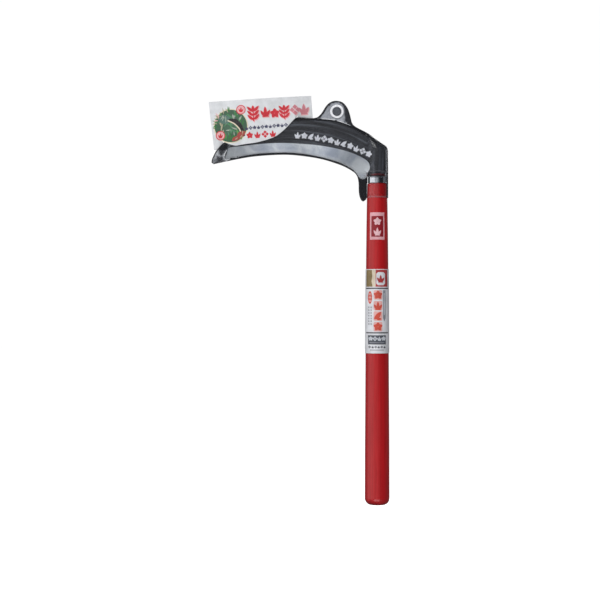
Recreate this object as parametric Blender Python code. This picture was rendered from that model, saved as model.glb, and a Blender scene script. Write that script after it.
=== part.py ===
"""Hand sickle in its shop dress: a curved blade on a turned wooden handle, inside a clear plastic
blade cover closed by a press stud, with a paper card hung on the cover by a slit.

The frame: +Z runs up the handle's axis, the blade reaches towards -X, and its ground face looks
towards -Y. The origin is on the handle's axis, at the middle of the bare grip.
Plan outlines are lists of (x, z) points in millimetres, joined by a smooth curve."""

import math

import bmesh
import bpy
from mathutils import Vector
from mathutils.geometry import delaunay_2d_cdt, intersect_point_line

MM = 0.001
# Clearance between neighbouring pieces.
GAP = 0.3
# How far a cutter reaches past the surface it opens.
CUT_BEYOND = 5.0

# ---- handle ----
BUTT_Z = -90.0
BUTT_FLAT_RADIUS = 8.0
BUTT_DOME_HEIGHT = 8.0
HANDLE_STATIONS = [
    (-82.0, 14.9),
    (-20.0, 14.65),
    (71.0, 14.1),
    (150.0, 13.75),
    (203.0, 13.3),
    (240.0, 12.9),
    (269.0, 12.45),
    (294.4, 11.9),
]
SHOULDER_Z = 294.4
SEAT_RADIUS = 10.0
WOOD_TOP_Z = 306.4
WOOD_CHAMFER = 1.4
ROUND_STEPS = 40

# ---- tang and its slot ----
TANG_TOP_HALF = 8.2
TANG_END_HALF = 5.0
TANG_END_Z = 236.0
TANG_CORNER_WIDTH = 3.0
TANG_CORNER_HEIGHT = 4.0
SLOT_HALF_X = 8.6
SLOT_HALF_Y = 1.5
SLOT_FLOOR_Z = 234.0
PIN_Z = 286.0
PIN_RADIUS = 1.2
PIN_HOLE_RADIUS = 1.6
PIN_HEAD_RADIUS = 2.0
PIN_HEAD_SEAT_Y = 10.9
PIN_HEAD_TOP_Y = 11.8
PIN_POINT_Y = -7.0

# ---- ferrule ----
FERRULE_BOTTOM_Z = 294.9
FERRULE_TOP_Z = 303.6
FERRULE_INNER = 10.35
FERRULE_OUTER = 11.1
FERRULE_BEAD = 11.35
NAIL_Z = 299.2
NAIL_RADIUS = 0.8
NAIL_HEAD_RADIUS = 1.7
NAIL_HEAD_SEAT_Y = 11.5
NAIL_HEAD_TOP_Y = 12.1
NAIL_POINT_Y = 4.0

# ---- wrap label ----
LABEL_BOTTOM_Z = 91.8
LABEL_TOP_Z = 192.2
LABEL_THICKNESS = 0.25

# ---- blade ----
BLADE_HALF = 1.2
EDGE_THICKNESS = 0.5
CUTTING_EDGE = [
    (-183.0, 323.6),
    (-166.0, 327.0),
    (-142.0, 330.8),
    (-113.0, 332.2),
    (-90.0, 330.7),
    (-66.0, 326.4),
    (-45.0, 320.0),
    (-31.0, 312.8),
    (-25.0, 307.2),
    (-21.5, 302.0),
    (-17.6, 300.0),
    (-13.6, 301.4),
    (-11.9, 305.0),
    (-11.8, 307.2),
]
SPINE = [
    (10.6, 338.0),
    (0.0, 345.4),
    (-14.0, 352.8),
    (-30.2, 361.8),
    (-52.0, 369.2),
    (-80.6, 371.2),
    (-106.0, 369.8),
    (-132.0, 364.4),
    (-158.0, 353.8),
    (-174.0, 342.6),
    (-181.0, 333.4),
    (-183.4, 327.2),
]
BEVEL_LINE = [
    (-178.6, 337.2),
    (-175.0, 338.6),
    (-159.0, 340.4),
    (-136.0, 342.9),
    (-114.7, 343.7),
    (-90.2, 342.6),
    (-67.4, 340.4),
    (-44.6, 336.0),
    (-29.0, 331.2),
    (-17.0, 325.6),
    (-10.4, 320.2),
    (-8.9, 313.6),
    (-11.2, 308.4),
]
NECK_RIGHT_X = 10.6
NECK_SHOULDER_Z = 307.2

# ---- blade cover ----
COVER_WALL = 0.6
SEAM_HALF = 0.15
POCKET_HALF = 1.6
POCKET_RAMP = 1.2
SLEEVE_INNER = 12.6
SLEEVE_BOTTOM_Z = 277.8
SLEEVE_DOME = 14.0
SLEEVE_RIM_EDGE = 0.6
SLEEVE_SIDE_TOP_Z = 336.0
SLEEVE_SIDE_POINTS = 6
SLEEVE_SIDE_SPACING = 10.0
SLEEVE_COLUMNS = 14
SLEEVE_COLUMN_BOTTOM_Z = 284.0
SLEEVE_COLUMN_POINTS = 9
SLEEVE_COLUMN_SPACING = 8.0
# The part of the pocket's rim that the sleeve's dome falls to.
CREST_LEFT_X = -40.0
CREST_LOW_Z = 334.5
COVER_TOP = [
    (-198.8, 320.4),
    (-198.2, 324.0),
    (-195.8, 329.6),
    (-192.2, 335.6),
    (-184.0, 343.9),
    (-160.0, 359.6),
    (-130.0, 369.8),
    (-96.2, 374.3),
    (-76.0, 373.6),
    (-68.2, 377.8),
    (-60.9, 388.6),
    (-55.0, 393.2),
    (-48.4, 394.3),
    (-41.2, 392.2),
    (-35.6, 385.6),
    (-32.4, 376.6),
    (-30.2, 368.0),
    (-25.8, 363.2),
    (-12.2, 356.0),
    (0.6, 347.6),
    (11.0, 340.4),
]
COVER_BOTTOM = [
    (-13.0, 276.2),
    (-17.0, 273.8),
    (-20.2, 277.4),
    (-21.9, 285.0),
    (-22.4, 297.6),
    (-25.1, 306.0),
    (-32.0, 311.6),
    (-44.3, 317.6),
    (-66.0, 324.4),
    (-90.0, 328.4),
    (-113.0, 329.9),
    (-143.8, 328.2),
    (-166.7, 324.8),
    (-196.2, 318.4),
]
POCKET_RIM = [
    (-187.6, 321.0),
    (-187.9, 326.0),
    (-186.2, 334.0),
    (-178.6, 343.6),
    (-160.0, 356.2),
    (-132.0, 367.0),
    (-106.0, 371.6),
    (-80.6, 372.8),
    (-52.0, 371.0),
    (-30.2, 363.6),
    (-12.0, 354.2),
    (0.6, 346.6),
    (11.0, 339.6),
    (13.0, 334.0),
    (13.0, 279.0),
]

# Points that shape the cover's flat panel.
PANEL_LEFT_X = -184.0
PANEL_COLUMNS = 16
PANEL_SPACING = 11.0
PANEL_ROWS_Z = (335.0, 347.0, 359.0)
PANEL_CLEARANCE = 1.6
GUIDE_CLEARANCE = 0.6
COLUMN_CLEARANCE = 0.3

# ---- press stud on the cover's tab ----
STUD_X = -48.4
STUD_Z = 381.5
STUD_RADIUS = 5.2
STUD_HEIGHT = 1.9
STUD_POST_RADIUS = 1.7
STUD_HOLE_RADIUS = 2.3
STUD_EDGE = 0.6
STUD_DISH_WIDTH = 1.8
STUD_DISH_SLOPE = 0.36
STUD_DISH_DEPTH = 0.4
STUD_POST_LENGTH = 0.8
SOCKET_BORE_RADIUS = 2.1
SOCKET_BORE_DEPTH = 1.3
STUD_RING_RADIUS = 6.5
STUD_RING_POINTS = 8
WASHER_INNER = 5.55
WASHER_OUTER = 8.2
WASHER_HEIGHT = 0.8
WASHER_SLOPE = 0.2
STUD_STEPS = 28

# ---- paper card ----
CARD_CORNERS = [(-195.8, 335.6), (-74.6, 336.6), (-79.1, 400.6), (-202.4, 393.0)]
CARD_HALF = 0.2
CARD_STAND_OFF = 3.0
CARD_BEND_RADIUS = 6.0
SLIT_HALF_WIDTH = 0.35
CARD_EDGE_SPACING = 8.0
CARD_FILL_START = (-203.0, 337.0)
CARD_FILL_SPACING = 5.0
CARD_FILL_COLUMNS = 27
CARD_FILL_ROWS = 13
CARD_FILL_CLEARANCE = 1.2
# Rings of points round each end of the slit: radius and number.
SLIT_END_RINGS = ((1.6, 6), (3.4, 8))
# The angle, clockwise from the slit's line, at which the bend round an end changes side.
BEND_NEUTRAL_ANGLE = 270.0
BEND_FIRMNESS = 1.7
SLIT = [
    (-186.2, 345.4),
    (-179.0, 342.6),
    (-170.0, 340.0),
    (-160.0, 341.6),
    (-144.0, 344.0),
    (-130.0, 347.8),
    (-120.0, 352.2),
    (-110.0, 360.4),
    (-101.0, 370.0),
    (-94.4, 376.8),
]

MATERIALS = {
    "steel": ((0.10, 0.105, 0.115), 0.35, 0.9),
    "lacquer": ((0.42, 0.02, 0.03), 0.3, 0.0),
    "chrome": ((0.75, 0.76, 0.78), 0.12, 1.0),
    "nail": ((0.45, 0.45, 0.46), 0.35, 1.0),
    "label_film": ((0.82, 0.82, 0.83), 0.4, 0.0),
    "clear_plastic": ((0.55, 0.57, 0.60), 0.12, 0.0),
    "stud_dark": ((0.04, 0.045, 0.05), 0.4, 0.0),
    "stud_white": ((0.85, 0.85, 0.86), 0.35, 0.0),
    "card": ((0.80, 0.80, 0.81), 0.6, 0.0),
}


def clamp(value, low=0.0, high=1.0):
    return max(low, min(high, value))


def ease(value):
    """0 to 1 with level ends."""
    t = clamp(value)
    return t * t * (3.0 - 2.0 * t)


def curve_through(points, steps):
    """A smooth curve (Catmull-Rom) through the points, with steps pieces between each two."""
    first = [2.0 * points[0][i] - points[1][i] for i in range(2)]
    last = [2.0 * points[-1][i] - points[-2][i] for i in range(2)]
    padded = [first, *points, last]
    out = []
    for k in range(len(points) - 1):
        a, b, c, d = padded[k : k + 4]
        for s in range(steps):
            t = s / steps
            out.append(
                tuple(
                    0.5
                    * (
                        2.0 * b[i]
                        + (c[i] - a[i]) * t
                        + (2.0 * a[i] - 5.0 * b[i] + 4.0 * c[i] - d[i]) * t**2
                        + (3.0 * b[i] - a[i] - 3.0 * c[i] + d[i]) * t**3
                    )
                    for i in range(2)
                )
            )
    out.append(tuple(points[-1]))
    return out


def circle(x, z, radius, steps):
    angles = [2.0 * math.pi * k / steps for k in range(steps)]
    return [(x + radius * math.cos(a), z + radius * math.sin(a)) for a in angles]


def line_distance(point, line):
    """How far a plan point is from a line of plan points."""
    p = Vector(point)
    best = math.inf
    for a, b in zip(line, line[1:]):
        foot, along = intersect_point_line(p, Vector(a), Vector(b))
        along = clamp(along)
        foot = Vector(a).lerp(Vector(b), along)
        best = min(best, (foot - p).length)
    return best


def inside(point, outline):
    x, z = point
    crossings = False
    for (xa, za), (xb, zb) in zip(outline, outline[1:] + outline[:1]):
        if (za > z) != (zb > z) and x < xa + (z - za) * (xb - xa) / (zb - za):
            crossings = not crossings
    return crossings


def height_at(line, x):
    """z where a line of plan points, in order along x, passes x."""
    ordered = sorted(line)
    for (xa, za), (xb, zb) in zip(ordered, ordered[1:]):
        if xa <= x <= xb and xb > xa:
            return za + (zb - za) * (x - xa) / (xb - xa)
    return ordered[0][1] if x < ordered[0][0] else ordered[-1][1]


def material(slot):
    made = bpy.data.materials.get(slot)
    if made is None:
        colour, roughness, metallic = MATERIALS[slot]
        made = bpy.data.materials.new(slot)
        made.use_nodes = True
        shader = made.node_tree.nodes["Principled BSDF"]
        shader.inputs["Base Color"].default_value = (*colour, 1.0)
        shader.inputs["Roughness"].default_value = roughness
        shader.inputs["Metallic"].default_value = metallic
    return made


def add_object(name, bm, slot, smooth_degrees=35.0):
    bmesh.ops.recalc_face_normals(bm, faces=bm.faces)
    mesh = bpy.data.meshes.new(name)
    bm.to_mesh(mesh)
    bm.free()
    mesh.shade_smooth()
    mesh.set_sharp_from_angle(angle=math.radians(smooth_degrees))
    mesh.materials.append(material(slot))
    made = bpy.data.objects.new(name, mesh)
    bpy.context.scene.collection.objects.link(made)
    return made


def plan_triangles(outline, holes, guides, fill):
    """Triangles that fill an outline, less its holes, and keep its guide lines as edges."""
    points = []
    edges = []
    for loop in [outline, *holes]:
        start = len(points)
        points += loop
        edges += [(start + k, start + (k + 1) % len(loop)) for k in range(len(loop))]
    for line in guides:
        start = len(points)
        points += line
        edges += [(start + k, start + k + 1) for k in range(len(line) - 1)]
    points += fill
    inside_constraints = 1
    merge_distance = 1e-4
    flat = [Vector(p) for p in points]
    verts, _, faces, *_ = delaunay_2d_cdt(flat, edges, [], inside_constraints, merge_distance)
    kept = []
    for face in faces:
        centre = sum((verts[i] for i in face), Vector((0.0, 0.0))) / len(face)
        if inside(centre, outline) and not any(inside(centre, hole) for hole in holes):
            kept.append(face)
    return verts, kept


def solid_between(name, slot, outline, front, back, holes=(), guides=(), fill=(), smooth=35.0):
    """A closed body over a plan outline, between the depths y = front(x, z) and y = back(x, z)."""
    verts, faces = plan_triangles(outline, list(holes), list(guides), list(fill))
    used = sorted({i for face in faces for i in face})
    bm = bmesh.new()
    near = {}
    far = {}
    for i in used:
        x, z = verts[i]
        near[i] = bm.verts.new((x * MM, front(x, z) * MM, z * MM))
        far[i] = bm.verts.new((x * MM, back(x, z) * MM, z * MM))
    sides = {}
    for face in faces:
        bm.faces.new([near[i] for i in face])
        bm.faces.new([far[i] for i in reversed(face)])
        for a, b in zip(face, [*face[1:], face[0]]):
            key = (min(a, b), max(a, b))
            sides.setdefault(key, []).append((a, b))
    for uses in sides.values():
        if len(uses) == 1:
            a, b = uses[0]
            bm.faces.new([near[b], near[a], far[a], far[b]])
    return add_object(name, bm, slot, smooth)


def turned(name, slot, profile, steps, closed=False, smooth=35.0):
    """A body turned about Z from (radius, z) points. An open profile's two ends are capped flat."""
    bm = bmesh.new()
    ring = [bm.verts.new((r * MM, 0.0, z * MM)) for r, z in profile]
    pairs = list(zip(ring, ring[1:]))
    if closed:
        pairs.append((ring[-1], ring[0]))
    for a, b in pairs:
        bm.edges.new((a, b))
    geometry = list(bm.verts) + list(bm.edges)
    bmesh.ops.spin(
        bm,
        geom=geometry,
        cent=(0.0, 0.0, 0.0),
        axis=(0.0, 0.0, 1.0),
        angle=2.0 * math.pi,
        steps=steps,
        use_merge=True,
    )
    bmesh.ops.remove_doubles(bm, verts=bm.verts, dist=1e-7)
    if not closed:
        bmesh.ops.holes_fill(bm, edges=bm.edges, sides=0)
    return add_object(name, bm, slot, smooth)


def cut(piece, cutter):
    cutter.hide_render = True
    cutter.display_type = "WIRE"
    modifier = piece.modifiers.new("cut_" + cutter.name, "BOOLEAN")
    modifier.operation = "DIFFERENCE"
    modifier.object = cutter


def box_cutter(name, half_x, half_y, low_z, high_z):
    bm = bmesh.new()
    size = (2.0 * half_x * MM, 2.0 * half_y * MM, (high_z - low_z) * MM)
    bmesh.ops.create_cube(bm, size=1.0)
    bmesh.ops.scale(bm, vec=size, verts=bm.verts)
    made = add_object(name, bm, "steel")
    made.location.z = 0.5 * (low_z + high_z) * MM
    return made


def along_y(piece, z, x=0.0, towards_back=True):
    """Turns a piece made along +Z to lie along +Y (or -Y) at (x, z)."""
    quarter = -0.5 * math.pi if towards_back else 0.5 * math.pi
    piece.rotation_euler = (quarter, 0.0, 0.0)
    piece.location = (x * MM, 0.0, z * MM)
    return piece


def rod_cutter(name, radius, low_y, high_y, z):
    made = turned(name, "steel", [(radius, low_y), (radius, high_y)], 16)
    return along_y(made, z)


def handle_radius(z):
    for (za, ra), (zb, rb) in zip(HANDLE_STATIONS, HANDLE_STATIONS[1:]):
        if za <= z <= zb:
            return ra + (rb - ra) * (z - za) / (zb - za)
    return HANDLE_STATIONS[-1][1]


def make_handle():
    profile = [
        (SEAT_RADIUS - WOOD_CHAMFER, WOOD_TOP_Z),
        (SEAT_RADIUS, WOOD_TOP_Z - WOOD_CHAMFER),
        (SEAT_RADIUS, SHOULDER_Z),
    ]
    profile += [(radius, z) for z, radius in reversed(HANDLE_STATIONS)]
    full = HANDLE_STATIONS[0][1]
    dome_steps = 5
    for k in range(1, dome_steps + 1):
        angle = 0.5 * math.pi * k / dome_steps
        radius = BUTT_FLAT_RADIUS + (full - BUTT_FLAT_RADIUS) * math.cos(angle)
        profile.append((radius, BUTT_Z + BUTT_DOME_HEIGHT * (1.0 - math.sin(angle))))
    handle = turned("handle", "lacquer", profile, ROUND_STEPS)
    slot = box_cutter("tang_slot", SLOT_HALF_X, SLOT_HALF_Y, SLOT_FLOOR_Z, WOOD_TOP_Z + CUT_BEYOND)
    cut(handle, slot)
    outside = HANDLE_STATIONS[0][1]
    pin_hole = rod_cutter("pin_hole", PIN_RADIUS + GAP, PIN_POINT_Y - GAP, outside, PIN_Z)
    cut(handle, pin_hole)
    seat_low = PIN_HEAD_SEAT_Y - GAP
    cut(handle, rod_cutter("pin_seat", PIN_HEAD_RADIUS + GAP, seat_low, outside, PIN_Z))
    nail_low = NAIL_POINT_Y - GAP
    cut(handle, rod_cutter("nail_hole", NAIL_RADIUS + GAP, nail_low, outside, NAIL_Z))


def make_ferrule():
    lip = 0.8
    profile = [
        (FERRULE_INNER, FERRULE_TOP_Z),
        (FERRULE_OUTER, FERRULE_TOP_Z),
        (FERRULE_BEAD, FERRULE_TOP_Z - 0.5 * lip),
        (FERRULE_OUTER, FERRULE_TOP_Z - lip),
        (FERRULE_OUTER, FERRULE_BOTTOM_Z + lip),
        (FERRULE_BEAD, FERRULE_BOTTOM_Z + 0.5 * lip),
        (FERRULE_OUTER, FERRULE_BOTTOM_Z),
        (FERRULE_INNER, FERRULE_BOTTOM_Z),
    ]
    ferrule = turned("ferrule", "chrome", profile, ROUND_STEPS, closed=True)
    reach = NAIL_HEAD_TOP_Y + CUT_BEYOND
    cut(ferrule, rod_cutter("ferrule_hole", NAIL_RADIUS + GAP, NAIL_POINT_Y, reach, NAIL_Z))


def nail(name, z, point_y, seat_y, top_y, shank, head):
    """A round nail driven in from the back, its head at the +Y end."""
    taper = 2.5 * shank
    edge = 0.25 * (top_y - seat_y)
    profile = [
        (0.35 * shank, point_y),
        (shank, point_y + taper),
        (shank, seat_y),
        (head, seat_y),
        (head, top_y - edge),
        (head - edge, top_y),
    ]
    along_y(turned(name, "nail", profile, 16), z)


def make_nails():
    nail(
        "tang_pin",
        PIN_Z,
        PIN_POINT_Y,
        PIN_HEAD_SEAT_Y,
        PIN_HEAD_TOP_Y,
        PIN_RADIUS,
        PIN_HEAD_RADIUS,
    )
    nail(
        "ferrule_nail",
        NAIL_Z,
        NAIL_POINT_Y,
        NAIL_HEAD_SEAT_Y,
        NAIL_HEAD_TOP_Y,
        NAIL_RADIUS,
        NAIL_HEAD_RADIUS,
    )


def make_label():
    low = LABEL_BOTTOM_Z
    high = LABEL_TOP_Z
    middle = HANDLE_STATIONS[3][0]
    heights = [high, middle, low]
    outer = [(handle_radius(z) + GAP + LABEL_THICKNESS, z) for z in heights]
    inner = [(handle_radius(z) + GAP, z) for z in reversed(heights)]
    turned("wrap_label", "label_film", outer + inner, ROUND_STEPS, closed=True)


def blade_outline():
    """Tip, cutting edge, heel, tang, neck and spine, once round."""
    edge = curve_through(CUTTING_EDGE, 4)
    tang = [
        (-TANG_TOP_HALF, NECK_SHOULDER_Z),
        (-TANG_END_HALF, TANG_END_Z + TANG_CORNER_HEIGHT),
        (-TANG_END_HALF + TANG_CORNER_WIDTH, TANG_END_Z),
        (TANG_END_HALF - TANG_CORNER_WIDTH, TANG_END_Z),
        (TANG_END_HALF, TANG_END_Z + TANG_CORNER_HEIGHT),
        (TANG_TOP_HALF, NECK_SHOULDER_Z),
        (NECK_RIGHT_X, NECK_SHOULDER_Z),
    ]
    spine = curve_through(SPINE, 4)
    return edge, edge + tang + spine


def make_blade():
    edge, outline = blade_outline()
    bevel = curve_through(BEVEL_LINE, 4)
    ground = edge + bevel[::-1]
    on_line = 1e-3

    def front(x, z):
        to_edge = line_distance((x, z), edge)
        to_bevel = line_distance((x, z), bevel)
        if to_edge < on_line:
            share = 1.0
        elif to_bevel < on_line or not inside((x, z), ground):
            share = 0.0
        else:
            share = to_bevel / (to_bevel + to_edge)
        return -BLADE_HALF + share * (2.0 * BLADE_HALF - EDGE_THICKNESS)

    def back(x, z):
        return BLADE_HALF

    tang_hole = circle(0.0, PIN_Z, PIN_HOLE_RADIUS, 14)
    solid_between(
        "blade", "steel", outline, front, back, holes=[tang_hole], guides=[bevel], smooth=20.0
    )


def cover_shape():
    """The cover's plan outline, and its pocket's rim and wall lines."""
    sleeve_outer = SLEEVE_INNER + COVER_WALL
    right_x = math.sqrt(sleeve_outer**2 - SLEEVE_RIM_EDGE**2)
    top = curve_through(COVER_TOP, 4)
    bottom = curve_through(COVER_BOTTOM, 4)
    columns = sleeve_columns(right_x)
    right = []
    for k in range(SLEEVE_SIDE_POINTS):
        right.append((right_x, SLEEVE_SIDE_TOP_Z - SLEEVE_SIDE_SPACING * k))
    foot = [(x, SLEEVE_BOTTOM_Z) for x in reversed(columns)]
    outline = top + right + foot + bottom
    rim = curve_through(POCKET_RIM, 4)
    return outline, rim, right_x


def sleeve_columns(right_x):
    """Where the sleeve's round wall is sampled across, closer towards its two sides."""
    steps = SLEEVE_COLUMNS
    columns = [-right_x * math.cos(math.pi * k / steps) for k in range(steps + 1)]
    return columns[1:]


def offset_inwards(line, distance):
    """The line moved by distance to its right-hand side, as seen along it."""
    moved = []
    for k, point in enumerate(line):
        a = Vector(line[max(k - 1, 0)])
        b = Vector(line[min(k + 1, len(line) - 1)])
        along = (b - a).normalized()
        moved.append((point[0] + along.y * distance, point[1] - along.x * distance))
    return moved


def cover_depths(rim):
    """Two functions of (x, z): the cover's inner and outer half depth. The pocket has no wall
    along its open lower side, so its outline is closed far below the cover."""
    far_below_z = 200.0
    below_left = (rim[0][0], far_below_z)
    below_right = (rim[-1][0], far_below_z)
    pocket = [below_left, *rim, below_right]
    crest = [p for p in rim if p[0] > CREST_LEFT_X and p[1] > CREST_LOW_Z]

    def panel(x, z):
        if not inside((x, z), pocket):
            return SEAM_HALF
        ramp = clamp(line_distance((x, z), pocket) / POCKET_RAMP)
        return SEAM_HALF + (POCKET_HALF - SEAM_HALF) * ramp

    def dome(x, z, radius, lift):
        if abs(x) >= radius:
            return 0.0
        below = clamp((height_at(crest, x) + lift - z) / (SLEEVE_DOME + lift))
        return math.sqrt(1.0 - (1.0 - below) ** 2) * math.sqrt(radius**2 - x**2)

    def inner(x, z):
        return max(panel(x, z), dome(x, z, SLEEVE_INNER, 0.0))

    def outer(x, z):
        outside = dome(x, z, SLEEVE_INNER + COVER_WALL, COVER_WALL)
        if x > SLEEVE_INNER:
            return max(inner(x, z) + SLEEVE_RIM_EDGE - SEAM_HALF, outside)
        return max(inner(x, z) + COVER_WALL, outside)

    return inner, outer


def make_cover():
    outline, rim, right_x = cover_shape()
    inner, outer = cover_depths(rim)
    inset = GUIDE_CLEARANCE
    rim_guide = [p for p in rim[1:-1] if inside(p, outline) and p[0] < right_x - inset]
    rim_guide = [p for p in rim_guide if line_distance(p, outline) > inset]
    wall_guide = offset_inwards(rim, POCKET_RAMP)
    wall_guide = [p for p in wall_guide if inside(p, outline)]
    wall_guide = [p for p in wall_guide if p[0] < SLEEVE_INNER - 1.0]
    wall_guide = [p for p in wall_guide if line_distance(p, outline) > inset]
    panel_points = []
    for k in range(PANEL_COLUMNS):
        x = PANEL_LEFT_X + PANEL_SPACING * k
        panel_points += [(x, z) for z in PANEL_ROWS_Z]
    panel_points += circle(STUD_X, STUD_Z, STUD_RING_RADIUS, STUD_RING_POINTS)
    guide_lines = rim_guide + wall_guide

    def is_clear(point, clearance):
        near_outline = line_distance(point, outline + outline[:1]) < clearance
        near_guide = min((Vector(point) - Vector(g)).length for g in guide_lines) < clearance
        return inside(point, outline) and not near_outline and not near_guide

    kept = [p for p in panel_points if is_clear(p, PANEL_CLEARANCE)]
    guides = [rim_guide, wall_guide]
    for x in sleeve_columns(right_x)[:-1]:
        column = []
        for k in range(SLEEVE_COLUMN_POINTS):
            column.append((x, SLEEVE_COLUMN_BOTTOM_Z + SLEEVE_COLUMN_SPACING * k))
        guides.append([p for p in column if is_clear(p, COLUMN_CLEARANCE)])
    hole = circle(STUD_X, STUD_Z, STUD_HOLE_RADIUS, 16)
    for name, side in (("cover_front", -1.0), ("cover_back", 1.0)):
        solid_between(
            name,
            "clear_plastic",
            outline,
            lambda x, z, s=side: s * outer(x, z),
            lambda x, z, s=side: s * inner(x, z),
            holes=[hole],
            guides=guides,
            fill=kept,
        )


def make_stud():
    """Cap with its post and washer in front, socket and washer behind."""
    base = SEAM_HALF + COVER_WALL + GAP
    crown = base + STUD_HEIGHT
    post_end = -(base + STUD_POST_LENGTH)
    dish = STUD_RADIUS - STUD_DISH_WIDTH
    cap = [
        (STUD_POST_RADIUS, post_end),
        (STUD_POST_RADIUS, base),
        (STUD_RADIUS, base),
        (STUD_RADIUS, crown - STUD_EDGE),
        (STUD_RADIUS - STUD_EDGE, crown),
        (dish, crown),
        (dish - STUD_DISH_SLOPE, crown - STUD_DISH_DEPTH),
    ]
    bore_floor = base + SOCKET_BORE_DEPTH
    socket = [
        (0.5 * SOCKET_BORE_RADIUS, bore_floor),
        (SOCKET_BORE_RADIUS, bore_floor),
        (SOCKET_BORE_RADIUS, base),
        (STUD_RADIUS, base),
        (STUD_RADIUS, crown - STUD_EDGE),
        (STUD_RADIUS - STUD_EDGE, crown),
    ]
    washer = [
        (WASHER_INNER, base),
        (WASHER_OUTER, base),
        (WASHER_OUTER - WASHER_SLOPE, base + WASHER_HEIGHT),
        (WASHER_INNER, base + WASHER_HEIGHT),
    ]
    pieces = [
        ("stud_cap", "stud_dark", cap, False, False),
        ("stud_socket", "stud_dark", socket, False, True),
        ("stud_washer_front", "stud_white", washer, True, False),
        ("stud_washer_back", "stud_white", washer, True, True),
    ]
    for name, slot, profile, closed, at_back in pieces:
        made = turned(name, slot, profile, STUD_STEPS, closed=closed)
        along_y(made, STUD_Z, STUD_X, towards_back=at_back)


def card_bend(slit):
    """How far the card stands from its middle plane: in front of the cover above the slit,
    behind it below the slit and beyond the slit's two ends, turning smoothly round each end."""
    left_x = slit[0][0]
    right_x = slit[-1][0]
    neutral = BEND_NEUTRAL_ANGLE

    def side_share(along, up):
        clockwise = math.degrees(math.atan2(-up, along)) % 360.0
        if clockwise <= neutral:
            turn = 180.0 * clockwise / neutral
        else:
            turn = 180.0 + 180.0 * (clockwise - neutral) / (360.0 - neutral)
        return clamp(BEND_FIRMNESS * math.cos(math.radians(0.5 * turn)), -1.0, 1.0)

    def stand_off(x, z):
        level = height_at(slit, x)
        up = z - level
        to_left = math.hypot(x - left_x, up)
        to_right = math.hypot(right_x - x, up)
        near = min(to_left, to_right)
        size = CARD_STAND_OFF * math.sin(0.5 * math.pi * clamp(near / CARD_BEND_RADIUS))
        blend = ease((x - left_x) / (right_x - left_x))
        left = side_share(x - left_x, up)
        right = side_share(right_x - x, up)
        return size * ((1.0 - blend) * left + blend * right)

    return stand_off


def slit_loop(line):
    """A narrow lens round the slit's line, pointed at both ends."""
    upper = []
    lower = []
    for k, (x, z) in enumerate(line[1:-1], 1):
        a = Vector(line[k - 1])
        b = Vector(line[k + 1])
        along = (b - a).normalized()
        upper.append((x - along.y * SLIT_HALF_WIDTH, z + along.x * SLIT_HALF_WIDTH))
        lower.append((x + along.y * SLIT_HALF_WIDTH, z - along.x * SLIT_HALF_WIDTH))
    return [line[0]] + lower + [line[-1]] + upper[::-1]


def make_card():
    line = curve_through(SLIT, 3)
    stand_off = card_bend(line)
    outline = []
    for (xa, za), (xb, zb) in zip(CARD_CORNERS, CARD_CORNERS[1:] + CARD_CORNERS[:1]):
        steps = max(2, round(math.hypot(xb - xa, zb - za) / CARD_EDGE_SPACING))
        for k in range(steps):
            t = k / steps
            outline.append((xa + (xb - xa) * t, za + (zb - za) * t))
    fill = []
    start_x, start_z = CARD_FILL_START
    for i in range(CARD_FILL_COLUMNS):
        for j in range(CARD_FILL_ROWS):
            fill.append((start_x + CARD_FILL_SPACING * i, start_z + CARD_FILL_SPACING * j))
    for x, z in (line[0], line[-1]):
        for radius, steps in SLIT_END_RINGS:
            fill += circle(x, z, radius, steps)
    hole = slit_loop(line)
    kept = []
    for point in fill:
        at_edge = line_distance(point, outline + outline[:1]) < CARD_FILL_CLEARANCE
        at_slit = line_distance(point, line) < CARD_FILL_CLEARANCE
        if inside(point, outline) and not at_edge and not at_slit:
            kept.append(point)
    solid_between(
        "header_card",
        "card",
        outline,
        lambda x, z: stand_off(x, z) - CARD_HALF,
        lambda x, z: stand_off(x, z) + CARD_HALF,
        holes=[hole],
        fill=kept,
    )


def main():
    for old in list(bpy.data.objects):
        bpy.data.objects.remove(old, do_unlink=True)
    make_handle()
    make_ferrule()
    make_nails()
    make_label()
    make_blade()
    make_cover()
    make_stud()
    make_card()


main()
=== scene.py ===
import math
import random

import bpy
import numpy as np
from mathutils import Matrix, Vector
from mathutils.geometry import delaunay_2d_cdt


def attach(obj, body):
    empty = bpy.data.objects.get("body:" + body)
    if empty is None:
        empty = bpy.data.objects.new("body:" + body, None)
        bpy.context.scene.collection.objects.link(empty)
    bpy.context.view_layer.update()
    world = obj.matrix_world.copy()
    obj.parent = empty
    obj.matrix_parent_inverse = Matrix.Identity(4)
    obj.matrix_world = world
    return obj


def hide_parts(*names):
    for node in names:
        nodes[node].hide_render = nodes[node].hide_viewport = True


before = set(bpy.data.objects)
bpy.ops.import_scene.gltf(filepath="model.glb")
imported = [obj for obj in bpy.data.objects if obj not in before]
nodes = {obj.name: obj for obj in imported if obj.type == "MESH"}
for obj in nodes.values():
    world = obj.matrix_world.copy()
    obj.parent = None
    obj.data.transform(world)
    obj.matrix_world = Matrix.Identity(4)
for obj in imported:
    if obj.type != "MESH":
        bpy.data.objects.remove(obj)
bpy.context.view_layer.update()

# Plan shapes are lists of (x, z) points in millimetres, in the CAD's frame: +Z up the handle,
# the blade towards -X, its ground face towards -Y.
MM = 0.001

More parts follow.
